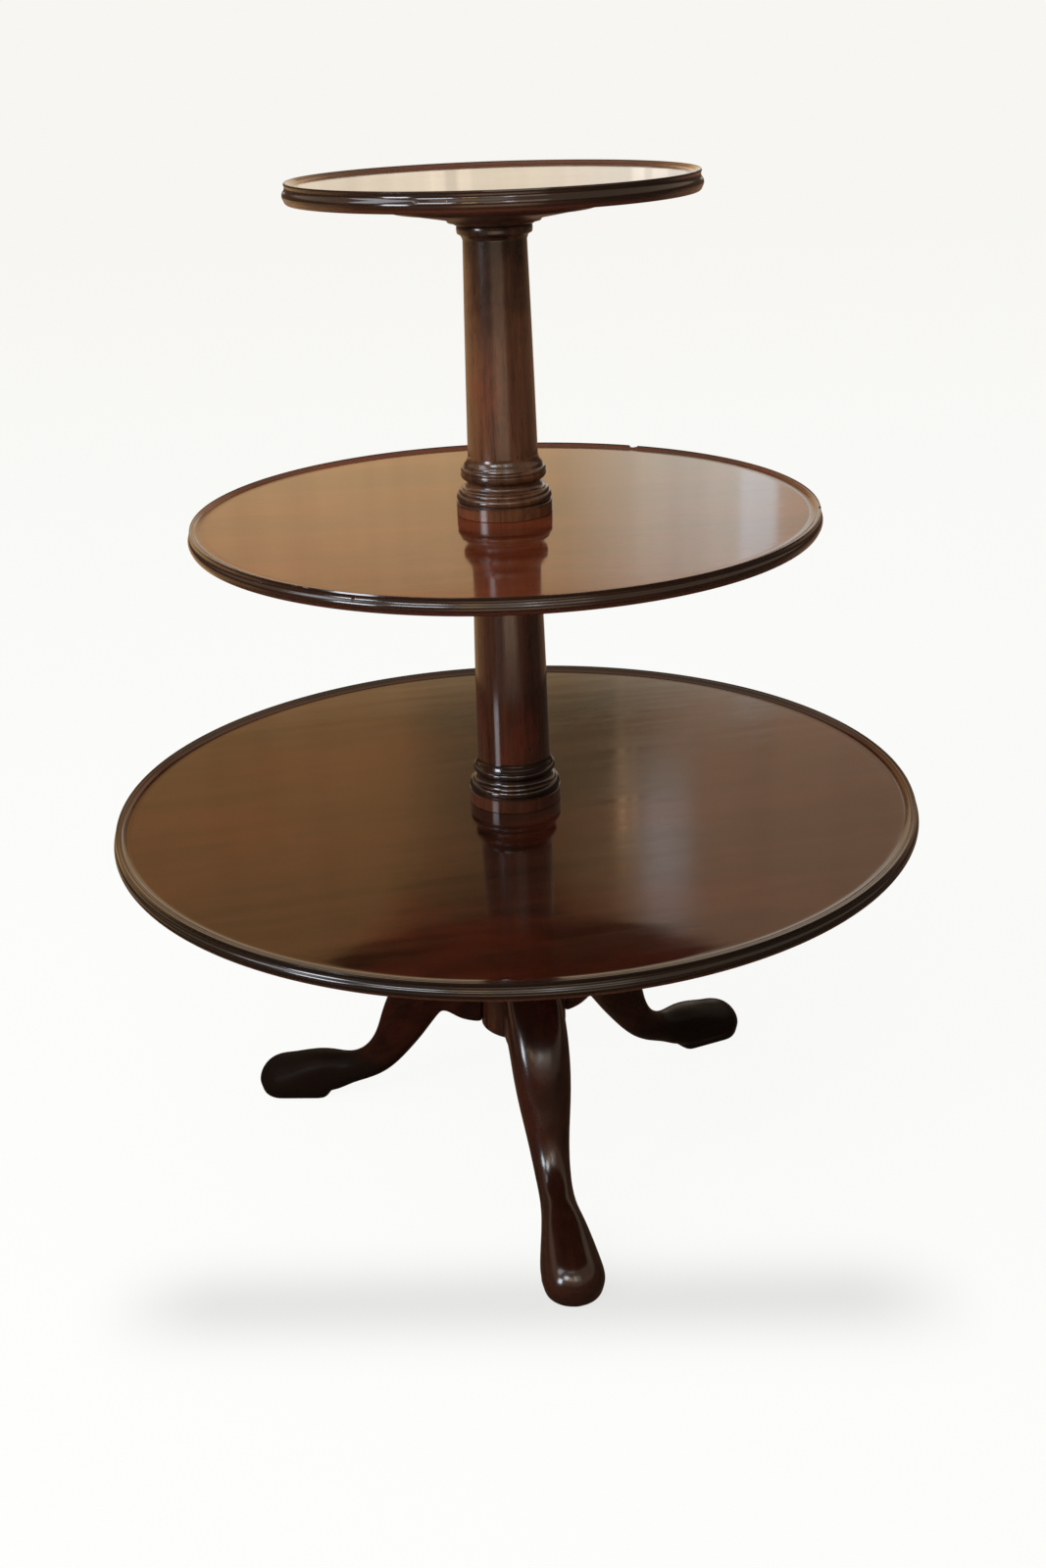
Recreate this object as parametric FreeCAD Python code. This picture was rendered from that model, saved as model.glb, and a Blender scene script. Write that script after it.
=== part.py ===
import FreeCAD, Part
import math
import os

# Three-tier revolving stand, millimetres, +Z up, origin on the floor under the column.
# A leg points to -Y. The trays turn on round journals between the column sections.

# Heights of the column
HUB_BOTTOM_HEIGHT = 125.0
HUB_TOP_HEIGHT = 210.0
BASE_SEAT_HEIGHT = 331.2
LOWER_BARREL_LENGTH = 240.8
UPPER_BARREL_LENGTH = 245.3

# Radii of the column, each barrel from its collar to its neck
HUB_RADIUS = 42.0
BASE_SHAFT_RADIUS = 37.0
BASE_NECK_RADIUS = 33.4
LOWER_SHAFT_RADIUS = 34.3
LOWER_NECK_RADIUS = 30.6
UPPER_SHAFT_RADIUS = 30.9
UPPER_NECK_RADIUS = 27.2

# Collars that stand on the trays
LOWER_PLINTH_RADIUS = 43.2
LOWER_PLINTH_HEIGHT = 12.0
LOWER_COLLAR_HEIGHT = 46.0
UPPER_PLINTH_RADIUS = 42.5
UPPER_PLINTH_HEIGHT = 11.0
UPPER_COLLAR_HEIGHT = 52.0
PLINTH_EDGE = 0.7

# Moulding over the hub and capital under each tray
HUB_MOULDING_HEIGHT = 22.0
CAPITAL_HEIGHT = 12.5
CAPITAL_PROJECTION = 4.9

# Journals that the trays turn on, and the tenons above them
BOTTOM_JOURNAL_RADIUS = 21.0
MIDDLE_JOURNAL_RADIUS = 19.0
TOP_JOURNAL_RADIUS = 15.0
LOWER_TENON_RADIUS = 15.5
LOWER_TENON_LENGTH = 42.0
UPPER_TENON_RADIUS = 14.0
UPPER_TENON_LENGTH = 40.0
TENON_CHAMFER = 1.5
SOCKET_END_GAP = 3.0

# Clearances
RUNNING_CLEARANCE = 0.08
FACE_CLEARANCE = 0.4
GLUE_CLEARANCE = 0.1
OVERRUN = 5.0

# Trays: radius, whole depth of the edge, sinking of the dish, width of the raised rim
BOTTOM_TRAY_RADIUS = 375.0
BOTTOM_RIM_DEPTH = 16.0
BOTTOM_DISH_DEPTH = 3.5
BOTTOM_RIM_WIDTH = 20.0
MIDDLE_TRAY_RADIUS = 279.5
MIDDLE_RIM_DEPTH = 14.5
MIDDLE_DISH_DEPTH = 3.0
MIDDLE_RIM_WIDTH = 13.0
TOP_TRAY_RADIUS = 174.5
TOP_RIM_DEPTH = 16.5
TOP_DISH_DEPTH = 3.0
TOP_RIM_WIDTH = 12.0

# Bosses under the trays
BOSS_HEIGHT = 22.8
BOTTOM_BOSS_RADIUS = 110.0
MIDDLE_BOSS_RADIUS = 100.0
TOP_BOSS_RADIUS = 92.0
BOSS_EDGE_HEIGHT = 6.0
BOSS_FOOT_MARGIN = 1.4

# Screws that hold a boss to its tray
BOSS_SCREW_COUNT = 4
BOSS_SCREW_CIRCLE_RADIUS = 66.0
BOSS_SCREW_LENGTH = 17.0
BOSS_SCREW_HEAD_RADIUS = 4.4
BOSS_SCREW_SHANK_RADIUS = 2.2
BOSS_SCREW_HEAD_DEPTH = 9.5

# Keeping of the top tray: a washer and a screw in a recess of its boss
KEEPER_RECESS_RADIUS = 24.0
KEEPER_RECESS_DEPTH = 9.0
KEEPER_WASHER_RADIUS = 22.5
KEEPER_WASHER_THICKNESS = 2.0
KEEPER_SCREW_LENGTH = 46.0
KEEPER_SCREW_HEAD_RADIUS = 7.5
KEEPER_SCREW_HEAD_HEIGHT = 4.0
KEEPER_SCREW_SHANK_RADIUS = 3.2

# Legs: places are measured from the column axis
FRONT_LEG_AZIMUTH = -90.0
LEG_AZIMUTHS = [FRONT_LEG_AZIMUTH, 31.5, 153.5]
LEG_REACH = 299.0
LEG_TOP_HEIGHT = 207.0
KNEE_WIDTH = 56.0
ANKLE_WIDTH = 33.0
TOE_RADIUS = 29.5
TOE_TOP_HEIGHT = 39.5
TOE_LEAN = 15.6
PAD_HEIGHT = 13.5
PAD_TAPER = 3.5
PAD_HEEL_REACH = 215.0
PAD_HEEL_SLOPE = 6.0
PAD_HEEL_WIDTH = 36.0
PAD_HEEL_ROUND = 8.0
PAD_LIP = 0.9

# Sliding dovetails that hold the legs in the hub
TONGUE_DEPTH = 14.0
TONGUE_NECK_WIDTH = 14.0
TONGUE_WIDTH = 20.0
TONGUE_HEIGHT = 70.0

# Iron strap under the hub
STRAP_THICKNESS = 2.5
STRAP_DISC_RADIUS = 24.0
STRAP_ARM_WIDTH = 18.0
STRAP_REACH = 58.0
STRAP_OUTER_SCREW_RADIUS = 49.0
STRAP_INNER_SCREW_RADIUS = 15.0
STRAP_SCREW_LENGTH = 18.0
STRAP_SCREW_HEAD_RADIUS = 4.0
STRAP_SCREW_SHANK_RADIUS = 2.0

# Screws: the slot and the countersunk head as shares of the head's radius, the crown of a
# round head as a share of its height, the point as a share of the shank's radius
SLOT_WIDTH_SHARE = 0.22
SLOT_DEPTH_SHARE = 0.25
HEAD_HEIGHT_SHARE = 0.85
HEAD_CROWN_SHARE = 0.4
POINT_LENGTH_SHARE = 2.0

# Outlines of the mouldings, from the wide lower end to the narrow upper end. Each row is the
# radius as a share of the projection, the height as a share of the moulding's height and the
# bulge of the arc that comes from the row before, as a share of the projection. No bulge is
# a straight run.
LOWER_COLLAR_SHARES = [
    (0.75, 0.0, 0.0),
    (0.75, 0.03, 0.0),
    (0.60, 0.253, 0.25),
    (0.48, 0.253, 0.0),
    (0.48, 0.30, 0.0),
    (0.19, 0.518, -0.33),
    (0.21, 0.706, 0.27),
    (0.21, 0.747, 0.0),
    (0.0, 1.0, -0.08),
]
UPPER_COLLAR_SHARES = [
    (0.85, 0.0, 0.0),
    (0.85, 0.02, 0.0),
    (0.77, 0.185, 0.17),
    (0.63, 0.268, 0.07),
    (0.51, 0.273, 0.0),
    (0.51, 0.298, 0.0),
    (0.24, 0.47, -0.22),
    (0.55, 0.64, 0.18),
    (0.42, 0.73, 0.08),
    (0.32, 0.735, 0.0),
    (0.32, 0.79, 0.0),
    (0.0, 1.0, -0.07),
]
HUB_MOULDING_SHARES = [
    (0.78, 0.0, 0.0),
    (0.78, 0.06, 0.0),
    (0.78, 0.40, 0.42),
    (0.50, 0.40, 0.0),
    (0.50, 0.50, 0.0),
    (0.0, 1.0, -0.2),
]
CAPITAL_SHARES = [
    (0.12, 0.12, 0.0),
    (0.78, 0.40, -0.14),
    (0.92, 0.44, 0.0),
    (0.92, 1.0, 0.1),
]
SHAFT_SWELL_SHARE = 0.06

# Outline of a tray's edge, from the underside up and over the rim to the dish. Each row is
# the distance in from the edge as a share of the rim's width, the height over the underside
# as a share of the rim's depth, and the bulge as a share of the rim's depth.
RIM_OUTER_SHARES = [
    (0.20, 0.0, 0.0),
    (0.07, 0.16, 0.02),
    (0.06, 0.58, 0.07),
    (0.085, 0.60, 0.0),
    (0.12, 0.92, -0.05),
    (0.145, 1.0, 0.0),
    (0.22, 1.0, 0.0),
    (0.26, 0.95, 0.0),
    (0.42, 0.92, 0.015),
    (0.45, 0.88, 0.0),
]
RIM_COVE_BULGE_SHARE = -0.035

# Outline of a boss, from the foot that rests on the column to the edge under the tray. Each
# row is the distance out as a share of the way from foot to edge, the depth under the tray
# as a share of the boss's height, and the bulge as a share of that height.
BOSS_SHARES = [
    (0.10, 0.91, -0.03),
    (0.21, 0.76, -0.05),
    (0.235, 0.755, 0.0),
    (0.86, 0.47, 0.0),
]
BOSS_ROUND_SHARE = 0.3

# Stations along a leg from the hub to the toe. Each row is the reach of the underside, its
# height as a share of the hub's underside, the reach of the top, its height as a share of
# the leg's top, then how far the width goes from the ankle's to the knee's, how far it goes
# from the ankle's to the toe's, and the squareness of the section.
LEG_STATION_SHARES = [
    (-0.075, 0.985, -0.075, 1.0, 0.92, 0.0, 5.0),
    (0.010, 0.985, 0.010, 1.0, 0.92, 0.0, 5.0),
    (0.060, 0.988, 0.085, 0.988, 0.95, 0.0, 4.4),
    (0.108, 1.030, 0.180, 0.948, 1.0, 0.0, 3.8),
    (0.145, 1.035, 0.262, 0.882, 1.0, 0.0, 3.3),
    (0.185, 0.955, 0.335, 0.780, 0.96, 0.0, 2.9),
    (0.238, 0.800, 0.395, 0.650, 0.80, 0.0, 2.6),
    (0.305, 0.610, 0.438, 0.510, 0.48, 0.0, 2.3),
    (0.385, 0.415, 0.478, 0.392, 0.18, 0.0, 2.1),
    (0.475, 0.270, 0.540, 0.302, 0.02, 0.0, 2.0),
    (0.575, 0.168, 0.615, 0.264, 0.0, 0.04, 2.0),
    (0.673, 0.060, 0.700, 0.254, 0.0, 0.30, 2.5),
    (0.747, -0.032, 0.785, 0.234, 0.0, 0.64, 2.2),
    (0.798, -0.115, 0.860, 0.205, 0.0, 0.90, 2.05),
]
SECTION_POINTS = 24

# Slices across the round toe, as shares of a quarter turn from its widest to its tip
TOE_SLICE_SHARES = [0.0, 0.25, 0.46, 0.63, 0.77, 0.88, 0.96]

# Levels and radii that follow from the sizes above
BOTTOM_TRAY_UNDERSIDE = BASE_SEAT_HEIGHT + BOSS_HEIGHT
BOTTOM_TRAY_FLOOR = BOTTOM_TRAY_UNDERSIDE + BOTTOM_RIM_DEPTH - BOTTOM_DISH_DEPTH
LOWER_BARREL_BOTTOM = BOTTOM_TRAY_FLOOR + FACE_CLEARANCE
MIDDLE_SEAT_HEIGHT = LOWER_BARREL_BOTTOM + LOWER_BARREL_LENGTH
MIDDLE_TRAY_UNDERSIDE = MIDDLE_SEAT_HEIGHT + BOSS_HEIGHT
MIDDLE_TRAY_FLOOR = MIDDLE_TRAY_UNDERSIDE + MIDDLE_RIM_DEPTH - MIDDLE_DISH_DEPTH
UPPER_BARREL_BOTTOM = MIDDLE_TRAY_FLOOR + FACE_CLEARANCE
TOP_SEAT_HEIGHT = UPPER_BARREL_BOTTOM + UPPER_BARREL_LENGTH
TOP_TRAY_UNDERSIDE = TOP_SEAT_HEIGHT + BOSS_HEIGHT
KEEPER_RECESS_FLOOR = TOP_TRAY_UNDERSIDE - KEEPER_RECESS_DEPTH
KEEPER_WASHER_BOTTOM = KEEPER_RECESS_FLOOR + FACE_CLEARANCE
KEEPER_WASHER_TOP = KEEPER_WASHER_BOTTOM + KEEPER_WASHER_THICKNESS
TOE_CENTRE_REACH = LEG_REACH - TOE_RADIUS

ORIGIN = FreeCAD.Vector(0, 0, 0)
UP = FreeCAD.Vector(0, 0, 1)


class Outline:
    """A half section drawn in the XZ plane, radius along X, then spun about Z."""

    def __init__(self, radius, height):
        self.start = FreeCAD.Vector(radius, 0, height)
        self.here = self.start
        self.edges = []

    def line(self, radius, height):
        there = FreeCAD.Vector(radius, 0, height)
        self.edges.append(Part.makeLine(self.here, there))
        self.here = there
        return self

    def curve(self, radius, height, bulge):
        """An arc that bulges to the right of its run, which is outwards on the way up."""
        there = FreeCAD.Vector(radius, 0, height)
        run = there.sub(self.here)
        side = FreeCAD.Vector(run.z, 0, -run.x).normalize()
        middle = self.here.add(run.multiply(0.5)).add(side.multiply(bulge))
        self.edges.append(Part.Arc(self.here, middle, there).toShape())
        self.here = there
        return self

    def step(self, radius, height, bulge):
        if bulge == 0:
            return self.line(radius, height)
        return self.curve(radius, height, bulge)

    def solid(self):
        if self.here.distanceToPoint(self.start) > 0:
            self.line(self.start.x, self.start.z)
        face = Part.Face(Part.Wire(self.edges))
        return face.revolve(ORIGIN, UP, 360)


def rod(radius, bottom, top):
    """A round bar on the column axis."""
    return Part.makeCylinder(radius, top - bottom, FreeCAD.Vector(0, 0, bottom), UP)


def placed(shape, reach, azimuth, height):
    """A copy of a shape drawn at the origin, moved out along an azimuth and up."""
    copy = shape.copy()
    copy.translate(FreeCAD.Vector(reach, 0, height))
    copy.rotate(ORIGIN, UP, azimuth)
    return copy


def at_legs(shape, reach, height):
    """A copy of a shape for each leg."""
    return [placed(shape, reach, azimuth, height) for azimuth in LEG_AZIMUTHS]


def add_moulding(outline, shares, narrow_radius, projection, bottom, height):
    for radius_share, height_share, bulge_share in shares:
        radius = narrow_radius + radius_share * projection
        outline.step(radius, bottom + height_share * height, bulge_share * projection)


def add_shaft(outline, neck_radius, neck_height):
    """The long tapering run of a barrel, swelling a little."""
    swell = SHAFT_SWELL_SHARE * (outline.here.x - neck_radius)
    outline.curve(neck_radius, neck_height, swell)


def add_capital(outline, neck_radius, seat_height):
    bottom = seat_height - CAPITAL_HEIGHT
    add_moulding(outline, CAPITAL_SHARES, neck_radius, CAPITAL_PROJECTION, bottom, CAPITAL_HEIGHT)


def add_spigot(outline, journal_radius, seat_height, journal_top, tenon_radius, tenon_length):
    """The journal that a tray turns on and the chamfered tenon above it."""
    tenon_top = journal_top + tenon_length
    outline.line(journal_radius, seat_height)
    outline.line(journal_radius, journal_top)
    outline.line(tenon_radius, journal_top)
    outline.line(tenon_radius, tenon_top - TENON_CHAMFER)
    outline.line(tenon_radius - TENON_CHAMFER, tenon_top)
    outline.line(0, tenon_top)


def socket(tenon_radius, tenon_length, bottom):
    """The hole that takes a tenon, with room over its end."""
    depth = tenon_length + SOCKET_END_GAP
    return rod(tenon_radius + GLUE_CLEARANCE, bottom - OVERRUN, bottom + depth)


def dovetail(height, clearance):
    """A dovetail prism at the hub's surface, narrow outside and wide inside."""
    outer = HUB_RADIUS + clearance
    inner = HUB_RADIUS - TONGUE_DEPTH + clearance
    neck = TONGUE_NECK_WIDTH / 2 - clearance
    root = TONGUE_WIDTH / 2 - clearance
    bury = HUB_RADIUS + TONGUE_DEPTH
    corners = [(bury, neck), (outer, neck), (inner, root), (inner, -root), (outer, -neck), (bury, -neck)]
    points = [FreeCAD.Vector(x, y, 0) for x, y in corners]
    wire = Part.makePolygon(points + points[:1])
    return Part.Face(wire).extrude(FreeCAD.Vector(0, 0, height))


def wood_screw(head_radius, shank_radius, length):
    """A slotted countersunk screw, head down at the origin and point up."""
    head_height = head_radius * HEAD_HEIGHT_SHARE
    point = length - shank_radius * POINT_LENGTH_SHARE
    body = Outline(0, 0).line(head_radius, 0).line(shank_radius, head_height)
    body.line(shank_radius, point).line(0, length)
    width = head_radius * SLOT_WIDTH_SHARE
    depth = head_radius * SLOT_DEPTH_SHARE
    slot_corner = FreeCAD.Vector(-head_radius - OVERRUN, -width / 2, -OVERRUN)
    slot = Part.makeBox(2 * (head_radius + OVERRUN), width, OVERRUN + depth, slot_corner)
    return body.solid().cut(slot)


def screw_hole(head_radius, shank_radius, length):
    """The room for a screw, open below its head."""
    head_height = head_radius * HEAD_HEIGHT_SHARE
    wide = head_radius + GLUE_CLEARANCE
    narrow = shank_radius + GLUE_CLEARANCE
    hole = Outline(0, -OVERRUN - BOSS_HEIGHT).line(wide, -OVERRUN - BOSS_HEIGHT).line(wide, 0)
    hole.line(narrow, head_height).line(narrow, length + GLUE_CLEARANCE)
    return hole.line(0, length + GLUE_CLEARANCE).solid()


def base_column():
    outline = Outline(0, HUB_BOTTOM_HEIGHT).line(HUB_RADIUS - PLINTH_EDGE, HUB_BOTTOM_HEIGHT)
    outline.line(HUB_RADIUS, HUB_BOTTOM_HEIGHT + PLINTH_EDGE)
    outline.line(HUB_RADIUS, HUB_TOP_HEIGHT)
    projection = HUB_RADIUS - BASE_SHAFT_RADIUS
    add_moulding(outline, HUB_MOULDING_SHARES, BASE_SHAFT_RADIUS, projection,
                 HUB_TOP_HEIGHT, HUB_MOULDING_HEIGHT)
    add_shaft(outline, BASE_NECK_RADIUS, BASE_SEAT_HEIGHT - CAPITAL_HEIGHT)
    add_capital(outline, BASE_NECK_RADIUS, BASE_SEAT_HEIGHT)
    add_spigot(outline, BOTTOM_JOURNAL_RADIUS, BASE_SEAT_HEIGHT, LOWER_BARREL_BOTTOM,
               LOWER_TENON_RADIUS, LOWER_TENON_LENGTH)
    slot = dovetail(TONGUE_HEIGHT + OVERRUN, 0)
    slots = at_legs(slot, 0, HUB_BOTTOM_HEIGHT - OVERRUN)
    holes = at_legs(strap_screw_hole(), STRAP_INNER_SCREW_RADIUS,
                    HUB_BOTTOM_HEIGHT - STRAP_THICKNESS)
    return outline.solid().cut(slots + holes)


def barrel(bottom, length, plinth_radius, plinth_height, collar_height, collar_shares,
           shaft_radius, neck_radius):
    """The outside of a barrel: plinth, ring-turned collar, taper and capital."""
    seat = bottom + length
    plinth_top = bottom + plinth_height
    outline = Outline(0, bottom).line(plinth_radius, bottom)
    outline.line(plinth_radius, plinth_top - PLINTH_EDGE)
    outline.line(plinth_radius - PLINTH_EDGE, plinth_top)
    add_moulding(outline, collar_shares, shaft_radius, plinth_radius - shaft_radius,
                 plinth_top, collar_height - plinth_height)
    add_shaft(outline, neck_radius, seat - CAPITAL_HEIGHT)
    add_capital(outline, neck_radius, seat)
    return outline


def lower_barrel():
    outline = barrel(LOWER_BARREL_BOTTOM, LOWER_BARREL_LENGTH, LOWER_PLINTH_RADIUS,
                     LOWER_PLINTH_HEIGHT, LOWER_COLLAR_HEIGHT, LOWER_COLLAR_SHARES,
                     LOWER_SHAFT_RADIUS, LOWER_NECK_RADIUS)
    add_spigot(outline, MIDDLE_JOURNAL_RADIUS, MIDDLE_SEAT_HEIGHT, UPPER_BARREL_BOTTOM,
               UPPER_TENON_RADIUS, UPPER_TENON_LENGTH)
    return outline.solid().cut(socket(LOWER_TENON_RADIUS, LOWER_TENON_LENGTH, LOWER_BARREL_BOTTOM))


def upper_barrel():
    outline = barrel(UPPER_BARREL_BOTTOM, UPPER_BARREL_LENGTH, UPPER_PLINTH_RADIUS,
                     UPPER_PLINTH_HEIGHT, UPPER_COLLAR_HEIGHT, UPPER_COLLAR_SHARES,
                     UPPER_SHAFT_RADIUS, UPPER_NECK_RADIUS)
    outline.line(TOP_JOURNAL_RADIUS, TOP_SEAT_HEIGHT)
    outline.line(TOP_JOURNAL_RADIUS, KEEPER_WASHER_BOTTOM)
    outline.line(0, KEEPER_WASHER_BOTTOM)
    lower_socket = socket(UPPER_TENON_RADIUS, UPPER_TENON_LENGTH, UPPER_BARREL_BOTTOM)
    pilot_bottom = KEEPER_WASHER_TOP - KEEPER_SCREW_LENGTH - GLUE_CLEARANCE
    pilot_radius = KEEPER_SCREW_SHANK_RADIUS + GLUE_CLEARANCE
    pilot = rod(pilot_radius, pilot_bottom, KEEPER_WASHER_BOTTOM + OVERRUN)
    return outline.solid().cut([lower_socket, pilot])


def tray(radius, rim_depth, dish_depth, rim_width, underside):
    """A round board sunk in the middle, with a moulded edge."""
    floor = underside + rim_depth - dish_depth
    outline = Outline(0, underside)
    for inset_share, height_share, bulge_share in RIM_OUTER_SHARES:
        height = underside + height_share * rim_depth
        outline.step(radius - inset_share * rim_width, height, bulge_share * rim_depth)
    outline.curve(radius - rim_width, floor, RIM_COVE_BULGE_SHARE * rim_width)
    outline.line(0, floor)
    return outline.solid()


def bored_tray(body, underside, floor, journal_radius):
    """A tray with the hole that turns on a journal."""
    return body.cut(rod(journal_radius + RUNNING_CLEARANCE, underside - OVERRUN, floor + OVERRUN))


def boss_screw_places(shape, underside):
    """A copy of a shape for each screw of a boss."""
    height = underside - BOSS_SCREW_HEAD_DEPTH
    azimuths = [(turn + 0.5) * 360 / BOSS_SCREW_COUNT for turn in range(BOSS_SCREW_COUNT)]
    return [placed(shape, BOSS_SCREW_CIRCLE_RADIUS, azimuth, height) for azimuth in azimuths]


def boss_screws(underside):
    screw = wood_screw(BOSS_SCREW_HEAD_RADIUS, BOSS_SCREW_SHANK_RADIUS, BOSS_SCREW_LENGTH)
    return Part.makeCompound(boss_screw_places(screw, underside))


def boss_screw_holes(underside):
    hole = screw_hole(BOSS_SCREW_HEAD_RADIUS, BOSS_SCREW_SHANK_RADIUS, BOSS_SCREW_LENGTH)
    return boss_screw_places(hole, underside)


def boss(radius, neck_radius, journal_radius, underside):
    """The turned block under a tray, bored for the journal and for its screws."""
    foot = underside - BOSS_HEIGHT
    foot_radius = neck_radius + CAPITAL_PROJECTION + BOSS_FOOT_MARGIN
    outline = Outline(0, foot).line(foot_radius, foot)
    for out_share, depth_share, bulge_share in BOSS_SHARES:
        reach = foot_radius + out_share * (radius - foot_radius)
        outline.step(reach, underside - depth_share * BOSS_HEIGHT, bulge_share * BOSS_HEIGHT)
    outline.curve(radius, underside - BOSS_EDGE_HEIGHT, BOSS_ROUND_SHARE * BOSS_EDGE_HEIGHT)
    outline.line(radius, underside).line(0, underside)
    bore = rod(journal_radius + RUNNING_CLEARANCE, foot - OVERRUN, underside + OVERRUN)
    return outline.solid().cut([bore] + boss_screw_holes(underside))


def bottom_tray():
    body = tray(BOTTOM_TRAY_RADIUS, BOTTOM_RIM_DEPTH, BOTTOM_DISH_DEPTH, BOTTOM_RIM_WIDTH,
                BOTTOM_TRAY_UNDERSIDE)
    body = bored_tray(body, BOTTOM_TRAY_UNDERSIDE, BOTTOM_TRAY_FLOOR, BOTTOM_JOURNAL_RADIUS)
    return body.cut(boss_screw_holes(BOTTOM_TRAY_UNDERSIDE))


def middle_tray():
    body = tray(MIDDLE_TRAY_RADIUS, MIDDLE_RIM_DEPTH, MIDDLE_DISH_DEPTH, MIDDLE_RIM_WIDTH,
                MIDDLE_TRAY_UNDERSIDE)
    body = bored_tray(body, MIDDLE_TRAY_UNDERSIDE, MIDDLE_TRAY_FLOOR, MIDDLE_JOURNAL_RADIUS)
    return body.cut(boss_screw_holes(MIDDLE_TRAY_UNDERSIDE))


def top_tray():
    body = tray(TOP_TRAY_RADIUS, TOP_RIM_DEPTH, TOP_DISH_DEPTH, TOP_RIM_WIDTH, TOP_TRAY_UNDERSIDE)
    return body.cut(boss_screw_holes(TOP_TRAY_UNDERSIDE))


def top_tray_boss():
    """The top boss also has the recess for the washer that keeps the tray on."""
    body = boss(TOP_BOSS_RADIUS, UPPER_NECK_RADIUS, TOP_JOURNAL_RADIUS, TOP_TRAY_UNDERSIDE)
    return body.cut(rod(KEEPER_RECESS_RADIUS, KEEPER_RECESS_FLOOR, TOP_TRAY_UNDERSIDE + OVERRUN))


def top_retaining_washer():
    disc = rod(KEEPER_WASHER_RADIUS, KEEPER_WASHER_BOTTOM, KEEPER_WASHER_TOP)
    hole_radius = KEEPER_SCREW_SHANK_RADIUS + GLUE_CLEARANCE
    return disc.cut(rod(hole_radius, KEEPER_WASHER_BOTTOM - OVERRUN, KEEPER_WASHER_TOP + OVERRUN))


def top_retaining_screw():
    """A round-headed screw, head up."""
    head_radius = KEEPER_SCREW_HEAD_RADIUS
    tip = KEEPER_WASHER_TOP - KEEPER_SCREW_LENGTH
    point = tip + KEEPER_SCREW_SHANK_RADIUS * POINT_LENGTH_SHARE
    crown = KEEPER_WASHER_TOP + KEEPER_SCREW_HEAD_HEIGHT
    body = Outline(0, tip).line(KEEPER_SCREW_SHANK_RADIUS, point)
    body.line(KEEPER_SCREW_SHANK_RADIUS, KEEPER_WASHER_TOP).line(head_radius, KEEPER_WASHER_TOP)
    body.curve(0, crown, KEEPER_SCREW_HEAD_HEIGHT * HEAD_CROWN_SHARE)
    width = head_radius * SLOT_WIDTH_SHARE
    slot_bottom = crown - head_radius * SLOT_DEPTH_SHARE
    corner = FreeCAD.Vector(-head_radius - OVERRUN, -width / 2, slot_bottom)
    slot = Part.makeBox(2 * (head_radius + OVERRUN), width, OVERRUN, corner)
    return body.solid().cut(slot)


def rounded_section(under, over, width, squareness):
    """A closed smooth section across a leg, between a point under it and one over it."""
    middle = under.add(over).multiply(0.5)
    half_rise = over.sub(under).multiply(0.5)
    points = []
    for index in range(SECTION_POINTS):
        angle = 2 * math.pi * index / SECTION_POINTS
        across = math.copysign(abs(math.cos(angle)) ** (2 / squareness), math.cos(angle))
        along = math.copysign(abs(math.sin(angle)) ** (2 / squareness), math.sin(angle))
        side = FreeCAD.Vector(0, across * width / 2, 0)
        rise = FreeCAD.Vector(half_rise.x * along, 0, half_rise.z * along)
        points.append(middle.add(side).add(rise))
    curve = Part.BSplineCurve()
    curve.interpolate(Points=points, PeriodicFlag=True)
    return Part.Wire(curve.toShape())


def leg_sweep():
    """The cabriole from inside the hub to the tip of the toe."""
    sections = []
    run = LEG_REACH - HUB_RADIUS
    for row in LEG_STATION_SHARES:
        under_out, under_up, over_out, over_up, knee_share, toe_share, squareness = row
        under = FreeCAD.Vector(HUB_RADIUS + under_out * run, 0, under_up * HUB_BOTTOM_HEIGHT)
        over = FreeCAD.Vector(HUB_RADIUS + over_out * run, 0, over_up * LEG_TOP_HEIGHT)
        width = ANKLE_WIDTH + knee_share * (KNEE_WIDTH - ANKLE_WIDTH)
        width = width + toe_share * (2 * TOE_RADIUS - ANKLE_WIDTH)
        sections.append(rounded_section(under, over, width, squareness))
    return Part.makeLoft(sections + toe_sections(), True, False)


def toe_sections():
    """Slices of the round toe, which leans forward with the top of the foot."""
    lean = math.radians(TOE_LEAN)
    centre = FreeCAD.Vector(TOE_CENTRE_REACH, 0, TOE_TOP_HEIGHT - TOE_RADIUS)
    sections = []
    for share in TOE_SLICE_SHARES:
        angle = share * math.pi / 2
        ahead = TOE_RADIUS * math.sin(angle)
        radius = TOE_RADIUS * math.cos(angle)
        middle = centre.add(FreeCAD.Vector(ahead * math.cos(lean), 0, -ahead * math.sin(lean)))
        rise = FreeCAD.Vector(radius * math.sin(lean), 0, radius * math.cos(lean))
        sections.append(rounded_section(middle.sub(rise), middle.add(rise), 2 * radius, 2))
    return sections


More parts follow.
